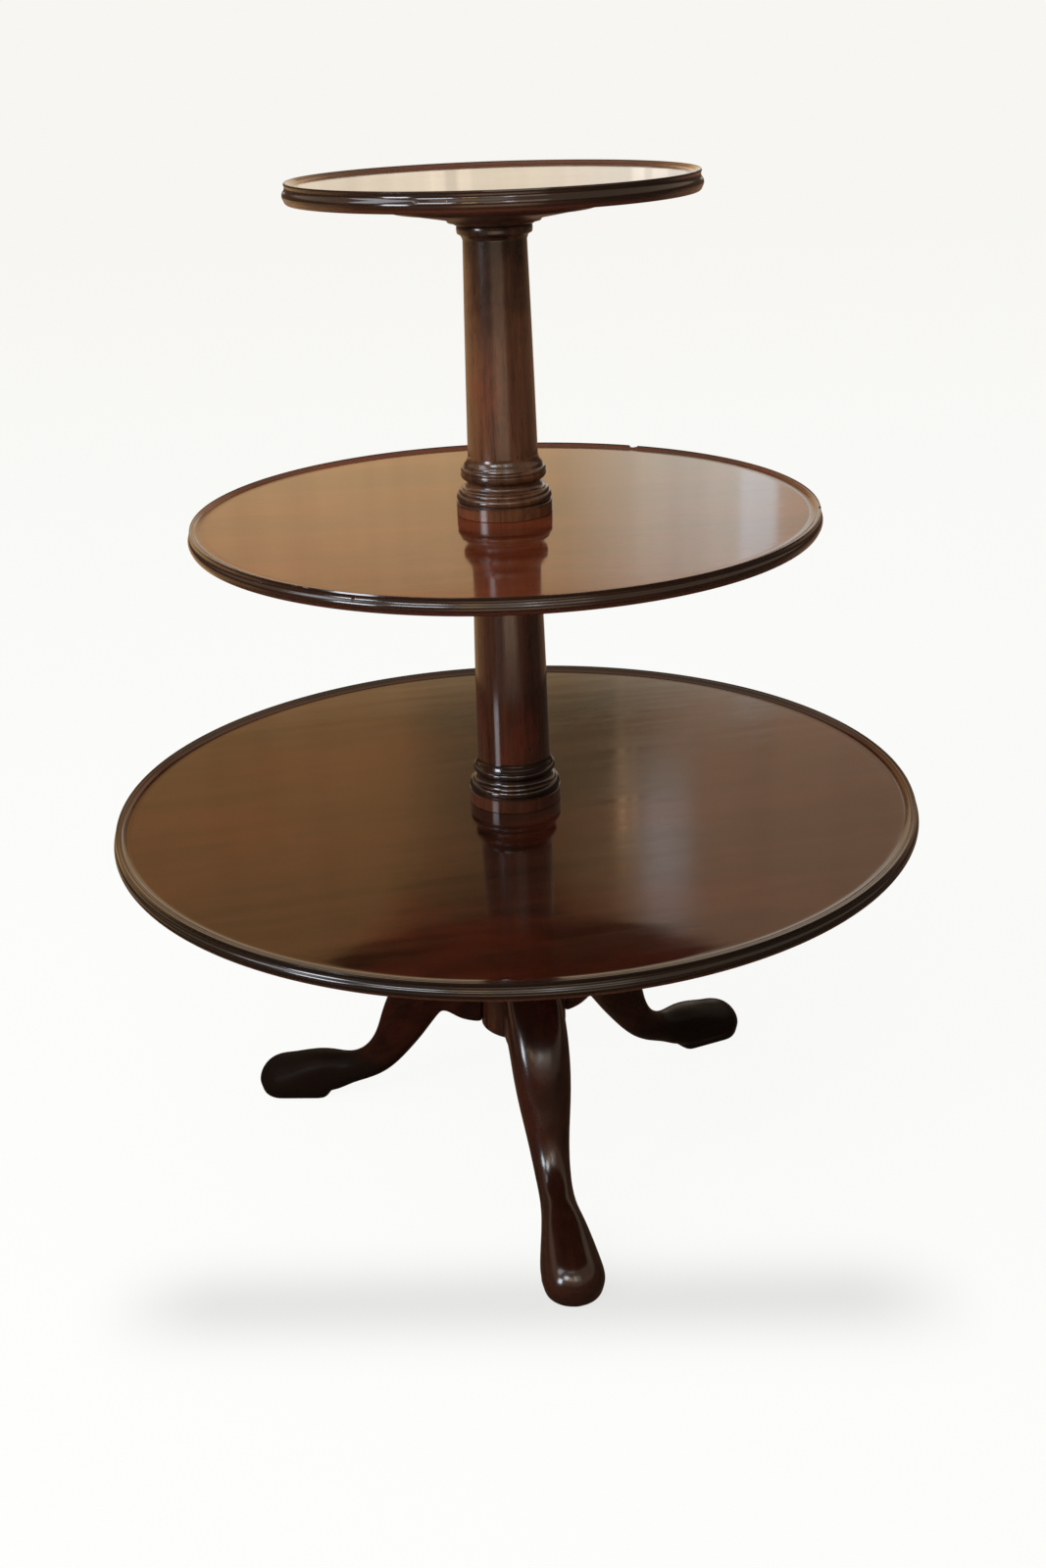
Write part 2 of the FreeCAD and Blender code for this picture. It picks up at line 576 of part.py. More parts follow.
def pad_outline(inset, heel_inset, height):
    """The sole seen from above: a round toe and a narrower heel with rounded corners."""
    radius = TOE_RADIUS - inset
    heel = PAD_HEEL_REACH + heel_inset
    half_heel = PAD_HEEL_WIDTH / 2 - inset
    corner = PAD_HEEL_ROUND
    slant = corner * (1 - math.sqrt(0.5))
    centre = TOE_CENTRE_REACH

    def at(x, y):
        return FreeCAD.Vector(x, y, height)

    edges = [
        Part.Arc(at(centre, -radius), at(centre + radius, 0), at(centre, radius)).toShape(),
        Part.makeLine(at(centre, radius), at(heel + corner, half_heel)),
        Part.Arc(at(heel + corner, half_heel), at(heel + slant, half_heel - slant),
                 at(heel, half_heel - corner)).toShape(),
        Part.makeLine(at(heel, half_heel - corner), at(heel, corner - half_heel)),
        Part.Arc(at(heel, corner - half_heel), at(heel + slant, slant - half_heel),
                 at(heel + corner, -half_heel)).toShape(),
        Part.makeLine(at(heel + corner, -half_heel), at(centre, -radius)),
    ]
    return Part.Wire(edges)


def pad():
    """The flat sole that tapers to the floor."""
    sole = pad_outline(PAD_TAPER, PAD_HEEL_SLOPE, 0)
    ridge = pad_outline(PAD_LIP, 0, PAD_HEIGHT)
    return Part.makeLoft([sole, ridge], True, True)


def leg():
    """One leg drawn along +X, with its dovetail tongue."""
    clear_radius = HUB_RADIUS + GLUE_CLEARANCE
    hub_room = rod(clear_radius, HUB_BOTTOM_HEIGHT - OVERRUN, HUB_TOP_HEIGHT + OVERRUN)
    seat_corner = FreeCAD.Vector(0, -KNEE_WIDTH, HUB_BOTTOM_HEIGHT - STRAP_THICKNESS - OVERRUN)
    strap_room = Part.makeBox(STRAP_REACH + GLUE_CLEARANCE, 2 * KNEE_WIDTH,
                              STRAP_THICKNESS + OVERRUN, seat_corner)
    hole = placed(strap_screw_hole(), STRAP_OUTER_SCREW_RADIUS, 0,
                  HUB_BOTTOM_HEIGHT - STRAP_THICKNESS)
    tongue = dovetail(TONGUE_HEIGHT - GLUE_CLEARANCE, GLUE_CLEARANCE)
    tongue.translate(FreeCAD.Vector(0, 0, HUB_BOTTOM_HEIGHT))
    foot_corner = FreeCAD.Vector(0, -KNEE_WIDTH, -LEG_REACH)
    pad_room = Part.makeBox(LEG_REACH + OVERRUN, 2 * KNEE_WIDTH, LEG_REACH + PAD_HEIGHT - PAD_LIP,
                            foot_corner)
    body = leg_sweep().cut([hub_room, strap_room, pad_room])
    return body.fuse([pad(), tongue]).cut(hole).removeSplitter()


def strap_screw_hole():
    return screw_hole(STRAP_SCREW_HEAD_RADIUS, STRAP_SCREW_SHANK_RADIUS, STRAP_SCREW_LENGTH)


def leg_strap():
    """The three-armed iron plate that ties the legs to the hub."""
    bottom = HUB_BOTTOM_HEIGHT - STRAP_THICKNESS
    tip_reach = STRAP_REACH - STRAP_ARM_WIDTH / 2
    arm_corner = FreeCAD.Vector(0, -STRAP_ARM_WIDTH / 2, 0)
    bar = Part.makeBox(tip_reach, STRAP_ARM_WIDTH, STRAP_THICKNESS, arm_corner)
    tip = Part.makeCylinder(STRAP_ARM_WIDTH / 2, STRAP_THICKNESS, FreeCAD.Vector(tip_reach, 0, 0), UP)
    arms = at_legs(bar.fuse(tip), 0, bottom)
    plate = rod(STRAP_DISC_RADIUS, bottom, HUB_BOTTOM_HEIGHT).fuse(arms)
    holes = []
    for reach in (STRAP_INNER_SCREW_RADIUS, STRAP_OUTER_SCREW_RADIUS):
        holes += at_legs(strap_screw_hole(), reach, bottom)
    return plate.cut(holes).removeSplitter()


def leg_strap_screws():
    screw = wood_screw(STRAP_SCREW_HEAD_RADIUS, STRAP_SCREW_SHANK_RADIUS, STRAP_SCREW_LENGTH)
    bottom = HUB_BOTTOM_HEIGHT - STRAP_THICKNESS
    screws = []
    for reach in (STRAP_INNER_SCREW_RADIUS, STRAP_OUTER_SCREW_RADIUS):
        screws += at_legs(screw, reach, bottom)
    return Part.makeCompound(screws)


def stand_nodes():
    one_leg = leg()
    legs = at_legs(one_leg, 0, 0)
    return {
        "leg_front": legs[0],
        "leg_back_right": legs[1],
        "leg_back_left": legs[2],
        "base_column": base_column(),
        "leg_strap": leg_strap(),
        "leg_strap_screws": leg_strap_screws(),
        "lower_barrel": lower_barrel(),
        "upper_barrel": upper_barrel(),
        "bottom_tray": bottom_tray(),
        "bottom_tray_boss": boss(BOTTOM_BOSS_RADIUS, BASE_NECK_RADIUS, BOTTOM_JOURNAL_RADIUS,
                                 BOTTOM_TRAY_UNDERSIDE),
        "bottom_tray_screws": boss_screws(BOTTOM_TRAY_UNDERSIDE),
        "middle_tray": middle_tray(),
        "middle_tray_boss": boss(MIDDLE_BOSS_RADIUS, LOWER_NECK_RADIUS, MIDDLE_JOURNAL_RADIUS,
                                 MIDDLE_TRAY_UNDERSIDE),
        "middle_tray_screws": boss_screws(MIDDLE_TRAY_UNDERSIDE),
        "top_tray": top_tray(),
        "top_tray_boss": top_tray_boss(),
        "top_tray_screws": boss_screws(TOP_TRAY_UNDERSIDE),
        "top_retaining_washer": top_retaining_washer(),
        "top_retaining_screw": top_retaining_screw(),
    }


os.makedirs("parts", exist_ok=True)
for node, shape in stand_nodes().items():
    shape.exportStep("parts/" + node + ".step")
    print(node, "solids", len(shape.Solids), "valid", shape.isValid(), "litres", shape.Volume / 1e6)
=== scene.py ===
import math

import bmesh
import bpy
from mathutils import Matrix, Vector


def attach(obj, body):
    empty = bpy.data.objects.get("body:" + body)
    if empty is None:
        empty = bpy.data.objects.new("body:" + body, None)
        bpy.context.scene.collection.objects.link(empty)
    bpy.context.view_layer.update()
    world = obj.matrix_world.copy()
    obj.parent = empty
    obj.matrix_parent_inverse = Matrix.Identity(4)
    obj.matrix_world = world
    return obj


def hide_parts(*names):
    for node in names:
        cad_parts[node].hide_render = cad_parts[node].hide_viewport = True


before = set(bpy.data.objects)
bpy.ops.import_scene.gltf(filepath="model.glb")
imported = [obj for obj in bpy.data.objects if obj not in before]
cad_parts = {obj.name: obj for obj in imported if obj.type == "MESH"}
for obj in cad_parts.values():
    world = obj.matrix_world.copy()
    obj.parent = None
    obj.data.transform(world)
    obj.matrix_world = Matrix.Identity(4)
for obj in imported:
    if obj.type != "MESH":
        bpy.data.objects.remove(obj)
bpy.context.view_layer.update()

# Camera: azimuths are measured about the column, 0 along +X and counterclockwise from above,
# and AHEAD is the one that the camera looks towards
CAMERA_AZIMUTH = math.radians(-97.57)
CAMERA_DISTANCE = 1.564
CAMERA_HEIGHT = 1.0281
CAMERA_YAW = 0.00482
CAMERA_PITCH = math.radians(22.555)
CAMERA_ROLL = math.radians(-2.023)
CAMERA_LENS = 41.06
SENSOR_WIDTH = 36.0
AHEAD = CAMERA_AZIMUTH + math.pi

# Floor and backdrop: the near colour passes into the far one between the two distances of each
# fade, which FLOOR_FADE gives ahead of the column and HORIZON_FADE away from it on every side
FLOOR_SIZE = 200.0
FLOOR_COLOR = (0.9, 0.9, 0.89)
BACKDROP_FAR = (0.930, 0.921, 0.888)
BACKDROP_NEAR = (0.997, 0.997, 0.979)
FLOOR_GLOW = 0.93
FLOOR_FADE = (-0.3, 9.5)
HORIZON_FADE = (8.0, 60.0)
SKY_LIGHT = (0.92, 0.96, 1.0)
SKY_STRENGTH = 0.3

# Band of soft shade on the floor: how far in front of the column, its slant, depth, half width,
# soft ends and strength
SHADE_IN_FRONT = 0.280
SHADE_SLANT = 0.037
SHADE_DEPTH = 0.050
SHADE_HALF_WIDTH = 0.27
SHADE_SOFTNESS = 0.14
SHADE_STRENGTH = 0.2

# Room: what only the polish mirrors, a round wall with a floor and a ceiling
ROOM_RADIUS = 12.0
ROOM_HEIGHT = 9.0
ROOM_FLOOR_HEIGHT = 0.0004
CEILING_GLOW = (0.55, 0.44, 0.32)

# Wall: the heights where one glow passes into the next, and each glow left and right of the
# column. The top tray mirrors the low part, the bottom tray the high part.
SKIRTING_TOP = (1.2, 1.6)
LOW_WALL_TOP = (2.2, 2.9)
MIDDLE_WALL_TOP = (4.1, 4.7)
HIGH_WALL_TOP = (7.8, 9.0)
SKIRTING_GLOW = (0.16, 0.09, 0.055)
LOW_WALL_GLOWS = ((1.06, 0.92, 0.72), (1.12, 1.04, 0.93))
MIDDLE_WALL_GLOWS = ((1.07, 0.73, 0.38), (1.34, 1.24, 1.06))
HIGH_WALL_GLOWS = ((0.80, 0.41, 0.16), (0.87, 0.53, 0.33))
CORNICE_GLOW = (0.30, 0.13, 0.06)
DIM_GLOW = (0.19, 0.165, 0.10)
WINDOW_GLOW = (1.24, 1.08, 0.98)
ARCH_GLOW = (0.05, 0.012, 0.007)
PANE_GLOW = (1.60, 1.60, 1.56)
POST_GLOW = (1.02, 0.74, 0.52)
BEHIND_GLOWS = ((0.12, 0.075, 0.05), (0.62, 0.49, 0.36))

# Parts of the wall, each by the bearing of its middle, half width and softness in degrees
DIM_PART = (1.0, 2.8, 3.4)
WINDOW = (5.9, 0.4, 1.1)
STRIPS = [(-1.9, 0.15, 0.15), (-0.95, 0.15, 0.15)]
STRIP_GAP = (-1.42, 0.12, 0.12)
BROAD_GLINT = (4.2, 0.10, 0.12)
THIN_GLINT = (4.65, 0.05, 0.1)
NARROW_PANES = [(5.0, 0.14, 0.15), (5.75, 0.2, 0.15)]
BROAD_PANE = (9.3, 0.6, 0.12)
POST = (11.2, 1.1, 0.2)

# Room floor: glows close to the stand and beyond, and patches in order, each by bearing, half
# width and softness in degrees
CLOSE_FLOOR_GLOW = (0.10, 0.055, 0.032)
NEAR_FLOOR_GLOW = (0.18, 0.10, 0.06)
FAR_FLOOR_GLOW = (0.34, 0.20, 0.125)
LEFT_PATCH = (-32.0, 10.0, 12.0, (0.43, 0.37, 0.33))
SUN_PATCH = (2.0, 12.0, 18.0, (2.3, 1.65, 1.15))
RIGHT_PATCH = (80.0, 22.0, 20.0, (0.11, 0.09, 0.07))
BACK_PATCH = (-125.0, 20.0, 25.0, (0.80, 0.50, 0.24))
ROSY_PATCH = (-5.0, 24.0, 20.0, (0.42, 0.28, 0.24))
DAPPLE_GLOW = (0.20, 0.11, 0.065)

# Lamps: bearing in degrees, distance, height, size, glow and colour
DAYLIGHT = (0.84, 0.91, 1.0)
LAMP_TARGET = Vector((0.0, 0.0, 0.6))
LAMPS = {
    "window_far_left": (-76.0, 2.0, 2.6, (0.9, 1.6), 5.0, DAYLIGHT),
    "window_left_pane": (-52.0, 3.0, 1.35, (0.75, 0.75), 22.0, DAYLIGHT),
    "window_right_pane": (-33.0, 3.0, 2.75, (1.1, 0.8), 15.0, DAYLIGHT),
    "window_small": (9.0, 3.2, 2.9, (0.3, 1.0), 8.0, DAYLIGHT),
    "warm_lamp": (-13.0, 3.2, 2.7, (0.5, 0.8), 7.0, (1.0, 0.62, 0.25)),
    "soft_top": (-20.0, 1.0, 3.2, (1.4, 1.4), 1.2, (1.0, 0.96, 0.9)),
    "soft_front": (12.0, 3.0, 2.6, (2.0, 1.4), 1.6, (1.0, 0.90, 0.78)),
}

# Turned copies and carved legs: a turned piece's seam is the line where its faces close
SEAM_WIDTH = 2e-6
MERGE_DISTANCE = 1e-6
TURNING_STEPS = 320
SHARP_ANGLE = math.radians(35.0)
LEG_VOXEL = 0.0014
LEG_WEAR_STEPS = 80

# Trays: radius, width of the raised rim, and height of the underside. Each rim has its patina,
# and the hazes are roughness added in the cove inside the rim and in streaks over the face.
TRAYS = {
    "bottom_tray": (0.375, 0.020, 0.354),
    "middle_tray": (0.2795, 0.013, 0.6305),
    "top_tray": (0.1745, 0.012, 0.9105),
}
RIM_PATINA = {"bottom_tray": 1.0, "middle_tray": 0.97, "top_tray": 0.78}
COVE_HAZE = {"bottom_tray": 0.02, "middle_tray": 0.08, "top_tray": 0.08}
FACE_HAZE = {"bottom_tray": 0.15, "middle_tray": 0.05, "top_tray": 0.02}

# Legs: azimuth in degrees, slope of the grain, roughness, shine, and darkening of the foot, which is
# dirt and, on the back legs, painted shade for the shade they stand in. A foot is dark below
# FOOT_TOP and darker still below SOLE_TOP, each the two heights between which the darkening fades.
LEG_AZIMUTHS = {"leg_front": -90.0, "leg_back_right": 31.5, "leg_back_left": 153.5}
LEG_SLOPE = math.radians(38.0)
LEG_ROUGHNESS = {"leg_front": 0.19, "leg_back_right": 0.28, "leg_back_left": 0.35}
LEG_SHINE = {"leg_front": 0.5, "leg_back_right": 0.10, "leg_back_left": 0.02}
# The back legs' higher shares are painted shade as well as dirt
LEG_DIRT_AND_SHADE = {"leg_front": 0.35, "leg_back_right": 0.80, "leg_back_left": 1.0}
FOOT_TOP = (0.04, 0.09)
SOLE_TOP = (0.010, 0.022)
SOLE_DIRT = 0.4

# Heights on the column
UPPER_PLINTH_TOP = 0.6534
UPPER_COLLAR_TOP = 0.6944
UPPER_CAPITAL_FOOT = 0.8752
LOWER_PLINTH_TOP = 0.3789
LOWER_COLLAR_TOP = 0.4129
LOWER_CAPITAL_FOOT = 0.5952

# Figure of the wood: how often each pattern repeats along, across and through the grain, and how
# strongly it shows in the colour
BROAD_FIGURE = (1.1, 9.0, 9.0)
STREAKS = (3.0, 55.0, 55.0)
FINE_LINES = (9.0, 420.0, 420.0)
PORES = (70.0, 1100.0, 1100.0)
CLOUDS = (0.6, 1.0, 1.0)
SPECKS = (60.0, 150.0, 150.0)
WAVES = (9.0, 42.0, 42.0)
HAZE = (5.0, 60.0, 60.0)
BROAD_CONTRAST = 1.8
STREAK_CONTRAST = 1.2
FINE_CONTRAST = 0.6
RED_SHARE = 0.6
PORE_SHARE = 0.5
SPECK_SHARE = 0.7
WOOD_IOR = 1.5

# Tones of each wood: dark, light and red
TRAY_TONES_AND_SHADE = {
    # The bottom tray's tones are darker partly as painted shade, for the shade under the trays above
    "bottom_tray": ((0.004, 0.0016, 0.0010), (0.052, 0.0145, 0.0064), (0.074, 0.0120, 0.0050)),
    "middle_tray": ((0.060, 0.011, 0.0040), (0.190, 0.039, 0.0125), (0.190, 0.025, 0.009)),
    "top_tray": ((0.060, 0.015, 0.006), (0.120, 0.034, 0.014), (0.120, 0.024, 0.010)),
}
# The upper section's tones are lighter than the lower ones: partly faded wood, partly painted light
# for the open light it gets above the trays
UPPER_FADED_AND_LIT_TONES = ((0.042, 0.0140, 0.0064), (0.156, 0.060, 0.0250), (0.152, 0.040, 0.0160))
LOWER_TONES = ((0.021, 0.0060, 0.0033), (0.088, 0.0260, 0.0115), (0.100, 0.0190, 0.0088))
BOSS_TONES = ((0.018, 0.007, 0.004), (0.050, 0.018, 0.009), (0.050, 0.014, 0.007))
LEG_TONES = ((0.007, 0.0026, 0.0016), (0.034, 0.0092, 0.0046), (0.046, 0.0085, 0.0040))
PATINA = (0.007, 0.0042, 0.0026)
RED_WEAR = (0.065, 0.017, 0.008)
BARE_WOOD = (0.30, 0.20, 0.13)
IRON = (0.10, 0.09, 0.08)
STEEL = (0.32, 0.30, 0.27)

# Board of each tray: the turn of its grain in degrees, where in the figure it was cut, its
# roughness and the depth of its ripples
BOARDS = {
    "bottom_tray": (4.0, (0.4, 0.0, 0.0), 0.085, 0.00006),
    "middle_tray": (-1.0, (1.1, 0.13, 0.0), 0.075, 0.00004),
    "top_tray": (-4.0, (1.8, 0.26, 0.0), 0.06, 0.00003),
}

# Column sections: tones, where in the figure each was cut, roughness, and bands of patina, each
# its lower and upper height, the softness of its ends and its strength
SECTIONS = {
    "upper_barrel": (UPPER_FADED_AND_LIT_TONES, (0.1, 0.2, 0.3), 0.17, [
        (UPPER_CAPITAL_FOOT, 0.92, 0.03, 0.20),
        (0.815, 0.92, 0.09, 0.57),
        (UPPER_PLINTH_TOP, UPPER_COLLAR_TOP - 0.004, 0.006, 0.66),
    ]),
    "lower_barrel": (LOWER_TONES, (0.3, 0.1, 0.2), 0.13, [
        (LOWER_CAPITAL_FOOT, 0.62, 0.03, 0.5),
        (LOWER_PLINTH_TOP + 0.002, LOWER_COLLAR_TOP - 0.004, 0.006, 0.82),
    ]),
    "base_column": (LOWER_TONES, (0.2, 0.3, 0.1), 0.15, [(0.10, 0.20, 0.03, 0.6)]),
}

# Wear: a chip is its azimuth in degrees, distance out, height, radius and stretch along the rim,
# a tray's scratches are their half width, strength, and starts and ends, and a spot is a place
# and a radius
CHIPS = [
    (53.8, 0.2768, 0.6456, 0.0034, 1.5),
    (-15.7, 0.2776, 0.6456, 0.0026, 1.2),
    (-16.6, 0.2784, 0.6420, 0.0015, 1.0),
    (-17.4, 0.2788, 0.6385, 0.0012, 1.0),
    (-149.0, 0.2776, 0.6456, 0.0012, 1.5),
    (-133.9, 0.2774, 0.6458, 0.0020, 1.6),
    (-130.8, 0.2776, 0.6456, 0.0013, 1.5),
    (-143.0, 0.2782, 0.6400, 0.0010, 1.0),
    (-142.0, 0.2780, 0.6413, 0.0009, 1.0),
    (-122.7, 0.2784, 0.6404, 0.0015, 1.3),
]
SCRATCHES = {
    "top_tray": (0.00035, 0.7, [
        ((-0.0577, -0.1641, 0.9189), (-0.0504, -0.1666, 0.9257)),
        ((-0.0581, -0.1640, 0.9202), (-0.0536, -0.1656, 0.9236)),
        ((-0.0835, -0.1527, 0.9213), (-0.0771, -0.1560, 0.9178)),
        ((-0.0977, -0.1440, 0.9178), (-0.0969, -0.1445, 0.9161)),
        ((-0.0775, -0.1558, 0.9196), (-0.0777, -0.1557, 0.9161)),
        ((-0.0543, -0.1653, 0.9257), (-0.0473, -0.1675, 0.9256)),
    ]),
    "bottom_tray": (0.0006, 0.18, [
        ((0.1601, 0.0988, 0.3665), (0.2383, 0.1046, 0.3665)),
        ((0.2383, 0.1046, 0.3665), (0.2684, 0.1069, 0.3665)),
        ((0.2684, 0.1069, 0.3665), (0.3250, 0.1312, 0.3665)),
    ]),
}
BARREL_SPOTS = [((-0.0056, -0.0270, 0.516), 0.004), ((-0.0196, -0.0190, 0.528), 0.0018)]


class Value:
    """An output of a material's node, with arithmetic that adds Math nodes."""

    def __init__(self, paint, socket):
        self.paint = paint
        self.socket = socket

    def math(self, operation, *operands):
        return self.paint.node("ShaderNodeMath", {"operation": operation}, operands)

    def __add__(self, other):
        return self.math("ADD", self, other)

    def __sub__(self, other):
        return self.math("SUBTRACT", self, other)

    def __mul__(self, other):
        return self.math("MULTIPLY", self, other)

    def __truediv__(self, other):
        return self.math("DIVIDE", self, other)

    def __rsub__(self, other):
        return self.math("SUBTRACT", other, self)

    __radd__ = __add__
    __rmul__ = __mul__

    def clamped(self):
        return self.math("MINIMUM", self.math("MAXIMUM", self, 0.0), 1.0)

    def between(self, low, high):
        """0 below low, 1 above high and smooth between them."""
        ends = {"Value": self, "From Min": low, "From Max": high}
        return self.paint.node("ShaderNodeMapRange", {"interpolation_type": "SMOOTHSTEP"}, ends)

    def near(self, centre, half_width, softness):
        """1 within half a width of a centre, and 0 beyond the soft edge."""
        away = self.math("ABSOLUTE", self - centre)
        return 1.0 - away.between(half_width, half_width + softness)


class Paint:
    """A node tree for a material or for the world, and the means to add to it."""

    def __init__(self, owner):
        owner.use_nodes = True
        self.owner = owner
        self.tree = owner.node_tree

    def node(self, kind, settings, inputs, output=0):
        """Adds a node, sets it up, fills its sockets with values or links, and gives an output."""
        node = self.tree.nodes.new(kind)
        for name, value in settings.items():
            setattr(node, name, value)
        named = inputs.items() if isinstance(inputs, dict) else enumerate(inputs)
        for key, value in named:
            self.fill(node.inputs[key], value)
        return Value(self, node.outputs[output])

    def fill(self, socket, value):
        if isinstance(value, Value):
            self.tree.links.new(value.socket, socket)
        elif socket.type == "RGBA":
            socket.default_value = (*value, 1.0)
        else:
            socket.default_value = value

    def mix(self, share, first, second, blend="MIX"):
        """A colour from first, at share 0, to second, at share 1."""
        settings = {"data_type": "RGBA", "blend_type": blend}
        return self.node("ShaderNodeMix", settings, {0: share, 6: first, 7: second}, 2)

    def vector(self, operation, *operands):
        return self.node("ShaderNodeVectorMath", {"operation": operation}, operands)

    def scaled(self, vector, factors):
        return self.vector("MULTIPLY", vector, factors)

    def length(self, vector):
        return self.node("ShaderNodeVectorMath", {"operation": "LENGTH"}, [vector], "Value")

    def joined(self, x, y, z):
        return self.node("ShaderNodeCombineXYZ", {}, [x, y, z])

    def parts(self, vector):
        """The X, Y and Z of a vector."""
        apart = self.node("ShaderNodeSeparateXYZ", {}, [vector], "X").socket.node
        return [Value(self, apart.outputs[i]) for i in range(3)]

    def noise(self, vector, scale, detail=2.0, roughness=0.5):
        sockets = {"Vector": vector, "Scale": scale, "Detail": detail, "Roughness": roughness}
        return self.node("ShaderNodeTexNoise", {}, sockets)

    def place(self):
        return self.node("ShaderNodeTexCoord", {}, {}, "Object")

    def stroke(self, place, start, end, half_width):
        """1 on a short straight line and 0 off it."""
        run = Vector(end) - Vector(start)
        away = self.vector("SUBTRACT", place, start)
        share = tuple(run / run.length_squared)
        along = self.node("ShaderNodeVectorMath", {"operation": "DOT_PRODUCT"}, [away, share],
                          "Value").clamped()
        across = self.vector("SUBTRACT", away, self.joined(*(along * step for step in run)))
        return 1.0 - self.length(across).between(0.5 * half_width, 1.5 * half_width)

    def strokes(self, place, lines, half_width):
        return sum(self.stroke(place, start, end, half_width) for start, end in lines).clamped()

    def spots(self, place, spots):
        """1 in the middle of each spot, 0 well outside it."""
        total = 0.0
        for centre, size in spots:
            away = self.length(self.vector("SUBTRACT", place, centre))
            total = total + (1.0 - away.between(0.0, 2.0 * size))
        return total.clamped()

    def turned(self, place, rotation, centre=(0.0, 0.0, 0.0)):
        """Coordinates turned so that X runs along the grain."""
        sockets = {"Vector": place, "Location": centre, "Rotation": rotation}
        return self.node("ShaderNodeMapping", {"vector_type": "TEXTURE"}, sockets)


def new_paint(name):
    """A material whose one shader is Principled, and that shader."""
    paint = Paint(bpy.data.materials.new(name))
    return paint, paint.tree.nodes["Principled BSDF"]


def finish_wood(paint, shader, grain, tones, roughness, patina, fineness, ripple, hollow_reach):
    """Old polished wood: colours from dark to light along its figure, red where it is worn,
    patina where its share says so and in every hollow, and ripples that the patina smooths.
    Gives the colour."""
    dark, light, red = tones
    sway = (paint.noise(grain, 2.3 * fineness, 3.0) - 0.5) / fineness
    path = paint.vector("ADD", grain, paint.joined(0.0, sway * 0.05, sway * 0.03))

    broad = paint.noise(paint.scaled(path, BROAD_FIGURE), fineness, 3.0, 0.55)
    streak = paint.noise(paint.scaled(path, STREAKS), fineness, 4.0, 0.6)
    fine = paint.noise(paint.scaled(path, FINE_LINES), 1.0, 3.0, 0.6)
    pore = paint.noise(paint.scaled(path, PORES), 1.0, 1.0).between(0.60, 0.70)
    cloud = paint.noise(paint.scaled(path, CLOUDS), 9.0 * fineness, 4.0, 0.6)
    speck = paint.noise(paint.scaled(grain, SPECKS), 1.0, 2.0).between(0.72, 0.76)

    lightness = (broad - 0.5) * BROAD_CONTRAST + (streak - 0.5) * STREAK_CONTRAST
    lightness = lightness + (fine - 0.5) * FINE_CONTRAST + 0.5
    color = paint.mix(lightness.clamped(), dark, light)
    color = paint.mix(cloud.between(0.46, 0.70) * RED_SHARE, color, red)
    color = paint.mix(pore * PORE_SHARE, color, tuple(0.3 * c for c in dark))
    color = paint.mix(speck * SPECK_SHARE, color, PATINA)

    hollow = paint.node("ShaderNodeAmbientOcclusion", {"samples": 8, "only_local": True},
                        {"Distance": hollow_reach}, "AO")
    grime = (1.0 - hollow).between(0.10, 0.50)
    worn = (cloud + (patina - 0.5) * 0.8).between(0.36, 0.82) * 0.92
    dirt = worn.math("MAXIMUM", worn, grime * 0.85)
    color = paint.mix(dirt, color, PATINA)

    smudge = paint.noise(grain, 16.0, 3.0, 0.6)
    dull = roughness + (smudge - 0.5) * 0.08 + (streak - 0.5) * 0.04 + pore * 0.05 + grime * 0.2
    paint.fill(shader.inputs["Roughness"], dull.clamped())

    waves = paint.noise(paint.scaled(path, WAVES), fineness, 1.0)
    height = waves + streak * 0.1 + fine * 0.03 - pore * 0.03 - 0.55
    height = height * (1.0 - patina * 0.85)
    sockets = {"Strength": 1.0, "Distance": ripple, "Height": height}
    paint.fill(shader.inputs["Normal"], paint.node("ShaderNodeBump", {}, sockets))
    shader.inputs["IOR"].default_value = WOOD_IOR
    return color


def tray_wood(node):
    """Wood of a tray: the board's figure, a dark rim and red worn edges. Places across the rim
    are shares of its width, counted in from the edge."""
    radius, rim_width, underside = TRAYS[node]
    turn, centre, roughness, ripple = BOARDS[node]
    paint, shader = new_paint("wood_" + node)
    place = paint.place()
    grain = paint.turned(place, (0.0, 0.0, math.radians(turn)), centre)
    out = paint.length(paint.scaled(place, (1.0, 1.0, 0.0)))
    height = paint.parts(place)[2]
    rim = out.between(radius - 0.45 * rim_width, radius - 0.2 * rim_width) * RIM_PATINA[node]
    cove = out.near(radius - 0.85 * rim_width, 0.2 * rim_width, 0.25 * rim_width)
    haze = paint.noise(paint.scaled(grain, HAZE), 1.0, 3.0, 0.6) - 0.5
    dull = roughness + cove * COVE_HAZE[node] + rim * 0.06 + haze * FACE_HAZE[node]
    color = finish_wood(paint, shader, grain, TRAY_TONES_AND_SHADE[node], roughness=dull, patina=rim,
                        fineness=1.0, ripple=ripple, hollow_reach=0.0035)
    crest = out.near(radius - 0.6 * rim_width, 0.1 * rim_width, 0.15 * rim_width)
    lower = 1.0 - height.between(underside + 0.002, underside + 0.005)
    edge = lower * out.between(radius - 0.8 * rim_width, radius - 0.5 * rim_width)
    color = paint.mix((crest * 0.4 + edge * 0.7).clamped(), color, RED_WEAR)
    foot = out.near(radius - 0.76 * rim_width, 0.02 * rim_width, 0.07 * rim_width)
    color = paint.mix(foot * 0.6, color, PATINA)
    if node in SCRATCHES:
        half_width, share, lines = SCRATCHES[node]
        color = paint.mix(paint.strokes(place, lines, half_width) * share, color, BARE_WOOD)
    paint.fill(shader.inputs["Base Color"], color)
    return paint.owner


